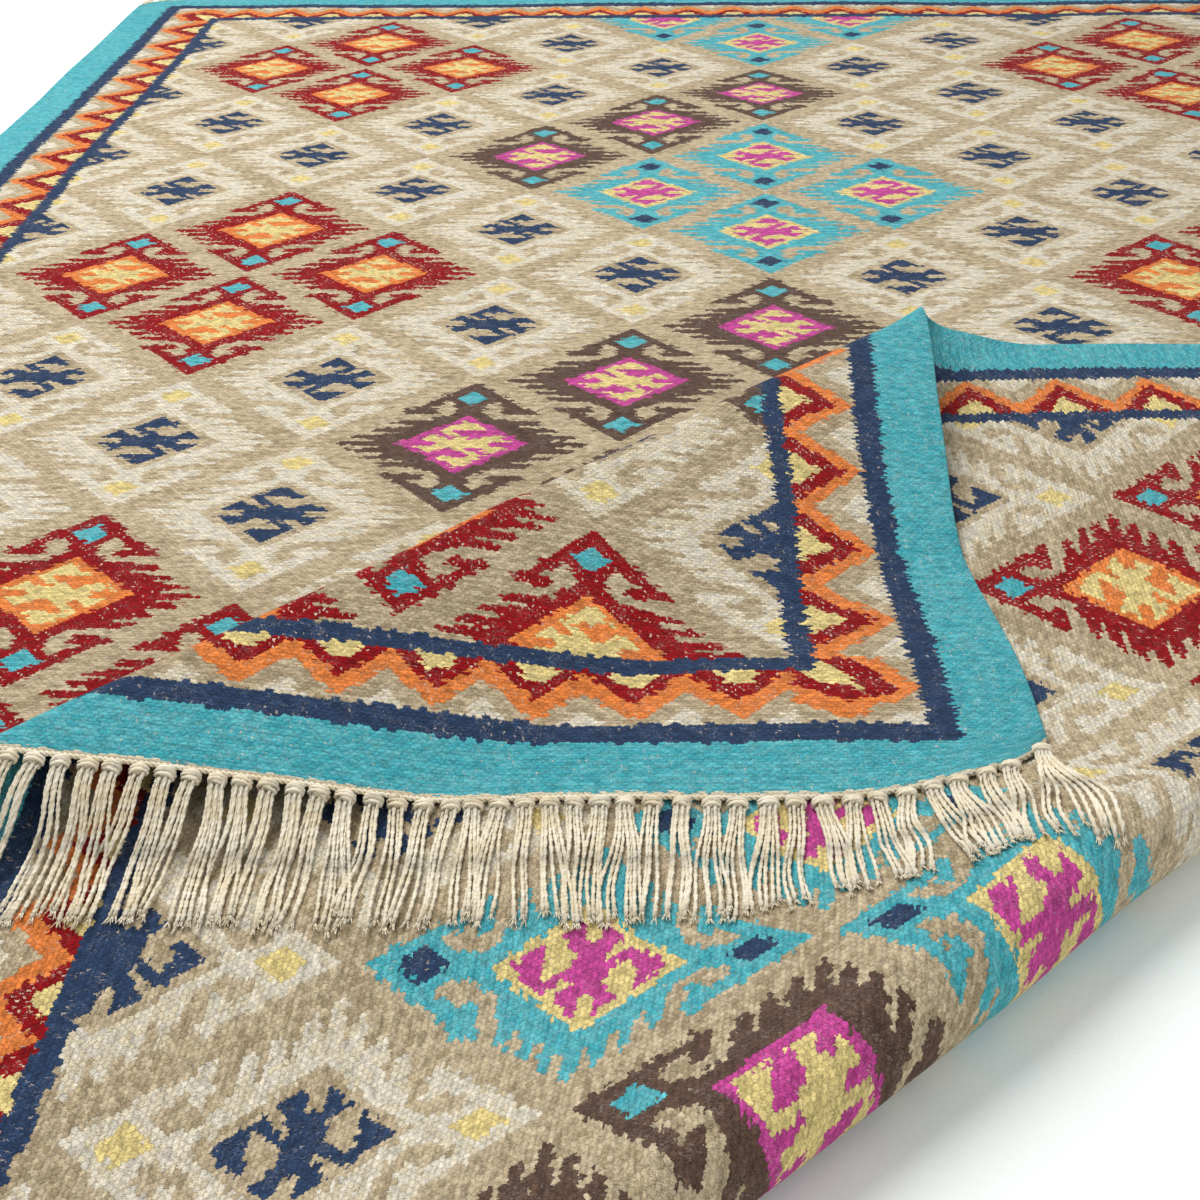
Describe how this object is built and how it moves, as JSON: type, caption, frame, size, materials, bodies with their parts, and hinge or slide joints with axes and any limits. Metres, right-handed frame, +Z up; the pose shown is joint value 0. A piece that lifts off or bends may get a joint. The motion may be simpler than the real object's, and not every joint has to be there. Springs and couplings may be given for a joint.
{
  "type": "kilim rug",
  "caption": "Flat-woven kilim rug with a diamond lattice, a zigzag border and knotted end fringes, lying with a corner folded over and its tip folded back.",
  "frame": {"origin": "middle of the whole rug's box, on the surface that it lies on", "axes": "+Z up, +Y along the warp of the bottom layer, from the folded corner's end towards the unfolded end, +X towards the right-hand selvedge"},
  "size_m": [1.7234, 2.7554, 0.062],
  "materials": {
    "kilim_weave": "weft-faced wool flat weave in taupe, cream, red, orange, yellow, navy, turquoise, pink and brown, matte and slightly hairy",
    "fringe_cord": "matte natural cotton cord, twined and knotted"
  },
  "bodies": {
    "root": {"rug_cloth": "kilim_weave", "near_fringe": "fringe_cord", "far_fringe": "fringe_cord"}
  },
  "joints": []
}
